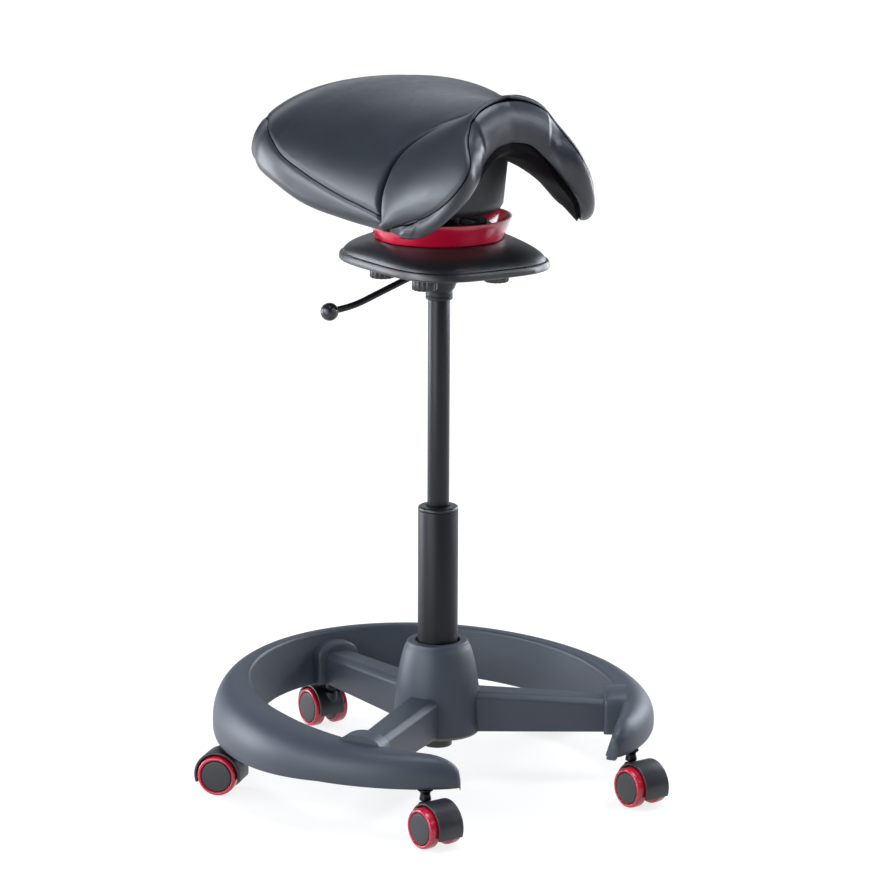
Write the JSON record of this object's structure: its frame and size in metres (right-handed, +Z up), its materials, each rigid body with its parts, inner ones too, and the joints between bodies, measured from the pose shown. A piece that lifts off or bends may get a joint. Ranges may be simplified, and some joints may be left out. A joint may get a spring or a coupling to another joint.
{
  "type": "drum throne",
  "caption": "Castored saddle stool used as a drum throne: padded saddle on a rocking plate, gas lift column and a C-shaped moulded foot ring.",
  "frame": {"origin": "on the floor under the middle of the overall box", "axes": "+Z up, the sitter faces -Y, +X is the sitter's left"},
  "size_m": [0.5809, 0.5641, 0.8767],
  "materials": {
    "charcoal moulding": "satin",
    "black moulding": "satin",
    "seat shell moulding": "matte",
    "black coated steel": "satin",
    "painted casting": "matte",
    "zinc steel": "plated",
    "red polyurethane": "gloss",
    "clear red acrylic": "gloss, slightly clear",
    "black rubber": "matte",
    "black leather": "soft sheen"
  },
  "bodies": {
    "base": {"base_spider": "charcoal moulding", "foot_ring": "charcoal moulding", "column_tube": "black coated steel", "guide_bush": "black moulding", "thrust_bearing": "zinc steel", "tube_end_cap": "black moulding", "castor_front_left_stem": "zinc steel", "castor_front_right_stem": "zinc steel", "castor_side_left_stem": "zinc steel", "castor_side_right_stem": "zinc steel", "castor_back_stem": "zinc steel"},
    "castor_front_left_fork": {"castor_front_left_hood": "black moulding", "castor_front_left_axle": "zinc steel"},
    "castor_front_left_left_wheel": {"castor_front_left_left_disc": "black moulding", "castor_front_left_left_tread": "red polyurethane"},
    "castor_front_left_right_wheel": {"castor_front_left_right_disc": "black moulding", "castor_front_left_right_tread": "red polyurethane"},
    "castor_front_right_fork": {"castor_front_right_hood": "black moulding", "castor_front_right_axle": "zinc steel"},
    "castor_front_right_left_wheel": {"castor_front_right_left_disc": "black moulding", "castor_front_right_left_tread": "red polyurethane"},
    "castor_front_right_right_wheel": {"castor_front_right_right_disc": "black moulding", "castor_front_right_right_tread": "red polyurethane"},
    "castor_side_left_fork": {"castor_side_left_hood": "black moulding", "castor_side_left_axle": "zinc steel"},
    "castor_side_left_left_wheel": {"castor_side_left_left_disc": "black moulding", "castor_side_left_left_tread": "red polyurethane"},
    "castor_side_left_right_wheel": {"castor_side_left_right_disc": "black moulding", "castor_side_left_right_tread": "red polyurethane"},
    "castor_side_right_fork": {"castor_side_right_hood": "black moulding", "castor_side_right_axle": "zinc steel"},
    "castor_side_right_left_wheel": {"castor_side_right_left_disc": "black moulding", "castor_side_right_left_tread": "red polyurethane"},
    "castor_side_right_right_wheel": {"castor_side_right_right_disc": "black moulding", "castor_side_right_right_tread": "red polyurethane"},
    "castor_back_fork": {"castor_back_hood": "black moulding", "castor_back_axle": "zinc steel"},
    "castor_back_left_wheel": {"castor_back_left_disc": "black moulding", "castor_back_left_tread": "red polyurethane"},
    "castor_back_right_wheel": {"castor_back_right_disc": "black moulding", "castor_back_right_tread": "red polyurethane"},
    "lift_rod": {"piston_rod": "zinc steel"},
    "upper": {"gas_cylinder": "black coated steel", "socket_block": "painted casting", "plate_cover": "black moulding", "red_collar": "clear red acrylic", "buffer_ring": "black rubber", "lever_pin": "zinc steel"},
    "lever": {"lever_rod": "black coated steel", "lever_ball": "black moulding"},
    "valve": {"valve_pin": "zinc steel"},
    "gimbal": {"gimbal_ring": "painted casting"},
    "seat": {"seat_neck": "seat shell moulding", "seat_shell": "seat shell moulding", "rear_cushion": "black leather", "front_cushion": "black leather"},
    "knob_front_left": {"clamp_knob_front_left": "black moulding"},
    "knob_front_right": {"clamp_knob_front_right": "black moulding"},
    "knob_rear_left": {"clamp_knob_rear_left": "black moulding"},
    "knob_rear_right": {"clamp_knob_rear_right": "black moulding"}
  },
  "joints": [
    {"name": "castor_front_left_swivel", "type": "hinge", "parent": "base", "child": "castor_front_left_fork", "pos_m": [0.15047, -0.23156, 0.048], "axis": [0, 0, 1], "continuous": true},
    {"name": "castor_front_left_left_roll", "type": "hinge", "parent": "castor_front_left_fork", "child": "castor_front_left_left_wheel", "pos_m": [0.15187, -0.25151, 0.025], "axis": [0.9976, 0.0698, 0], "continuous": true},
    {"name": "castor_front_left_right_roll", "type": "hinge", "parent": "castor_front_left_fork", "child": "castor_front_left_right_wheel", "pos_m": [0.15187, -0.25151, 0.025], "axis": [0.9976, 0.0698, 0], "continuous": true},
    {"name": "castor_front_right_swivel", "type": "hinge", "parent": "base", "child": "castor_front_right_fork", "pos_m": [-0.15047, -0.23156, 0.048], "axis": [0, 0, 1], "continuous": true},
    {"name": "castor_front_right_left_roll", "type": "hinge", "parent": "castor_front_right_fork", "child": "castor_front_right_left_wheel", "pos_m": [-0.14908, -0.25151, 0.025], "axis": [0.9976, 0.0698, 0], "continuous": true},
    {"name": "castor_front_right_right_roll", "type": "hinge", "parent": "castor_front_right_fork", "child": "castor_front_right_right_wheel", "pos_m": [-0.14908, -0.25151, 0.025], "axis": [0.9976, 0.0698, 0], "continuous": true},
    {"name": "castor_side_left_swivel", "type": "hinge", "parent": "base", "child": "castor_side_left_fork", "pos_m": [0.24347, 0.05466, 0.048], "axis": [0, 0, 1], "continuous": true},
    {"name": "castor_side_left_left_roll", "type": "hinge", "parent": "castor_side_left_fork", "child": "castor_side_left_left_wheel", "pos_m": [0.25659, 0.06975, 0.025], "axis": [-0.7547, 0.6561, 0], "continuous": true},
    {"name": "castor_side_left_right_roll", "type": "hinge", "parent": "castor_side_left_fork", "child": "castor_side_left_right_wheel", "pos_m": [0.25659, 0.06975, 0.025], "axis": [-0.7547, 0.6561, 0], "continuous": true},
    {"name": "castor_side_right_swivel", "type": "hinge", "parent": "base", "child": "castor_side_right_fork", "pos_m": [-0.24347, 0.05466, 0.048], "axis": [0, 0, 1], "continuous": true},
    {"name": "castor_side_right_left_roll", "type": "hinge", "parent": "castor_side_right_fork", "child": "castor_side_right_left_wheel", "pos_m": [-0.25659, 0.06975, 0.025], "axis": [-0.7547, -0.6561, 0], "continuous": true},
    {"name": "castor_side_right_right_roll", "type": "hinge", "parent": "castor_side_right_fork", "child": "castor_side_right_right_wheel", "pos_m": [-0.25659, 0.06975, 0.025], "axis": [-0.7547, -0.6561, 0], "continuous": true},
    {"name": "castor_back_swivel", "type": "hinge", "parent": "base", "child": "castor_back_fork", "pos_m": [0, 0.23155, 0.048], "axis": [0, 0, 1], "continuous": true},
    {"name": "castor_back_left_roll", "type": "hinge", "parent": "castor_back_fork", "child": "castor_back_left_wheel", "pos_m": [0, 0.25155, 0.025], "axis": [-1, 0, 0], "continuous": true},
    {"name": "castor_back_right_roll", "type": "hinge", "parent": "castor_back_fork", "child": "castor_back_right_wheel", "pos_m": [0, 0.25155, 0.025], "axis": [-1, 0, 0], "continuous": true},
    {"name": "seat_swivel", "type": "hinge", "parent": "base", "child": "lift_rod", "pos_m": [0, -0.02445, 0.075], "axis": [0, 0, 1], "continuous": true},
    {"name": "seat_height", "type": "slide", "parent": "lift_rod", "child": "upper", "axis": [0, 0, 1], "range_m": [-0.235, 0]},
    {"name": "lever_tip", "type": "hinge", "parent": "upper", "child": "lever", "pos_m": [-0.024, -0.02445, 0.6443], "axis": [0, 1, 0], "range_deg": [0, 8], "stiffness_Nm_per_rad": 2},
    {"name": "valve_press", "type": "slide", "parent": "upper", "child": "valve", "axis": [0, 0, 1], "range_m": [-0.004, 0]},
    {"name": "seat_rock", "type": "hinge", "parent": "upper", "child": "gimbal", "pos_m": [0, -0.02445, 0.6919], "axis": [1, 0, 0], "range_deg": [-6, 6], "stiffness_Nm_per_rad": 220},
    {"name": "seat_roll", "type": "hinge", "parent": "gimbal", "child": "seat", "pos_m": [0, -0.02445, 0.6919], "axis": [0, 1, 0], "range_deg": [-6, 6], "stiffness_Nm_per_rad": 220},
    {"name": "knob_front_left_turn", "type": "hinge", "parent": "upper", "child": "knob_front_left", "pos_m": [0.052, -0.07245, 0.652], "axis": [0, 0, 1], "continuous": true},
    {"name": "knob_front_right_turn", "type": "hinge", "parent": "upper", "child": "knob_front_right", "pos_m": [-0.052, -0.07245, 0.652], "axis": [0, 0, 1], "continuous": true},
    {"name": "knob_rear_left_turn", "type": "hinge", "parent": "upper", "child": "knob_rear_left", "pos_m": [0.052, 0.02355, 0.652], "axis": [0, 0, 1], "continuous": true},
    {"name": "knob_rear_right_turn", "type": "hinge", "parent": "upper", "child": "knob_rear_right", "pos_m": [-0.052, 0.02355, 0.652], "axis": [0, 0, 1], "continuous": true}
  ],
  "couplings": [
    {"joint": "valve_press", "follows": "lever_tip", "m_per_rad": -0.028}
  ]
}
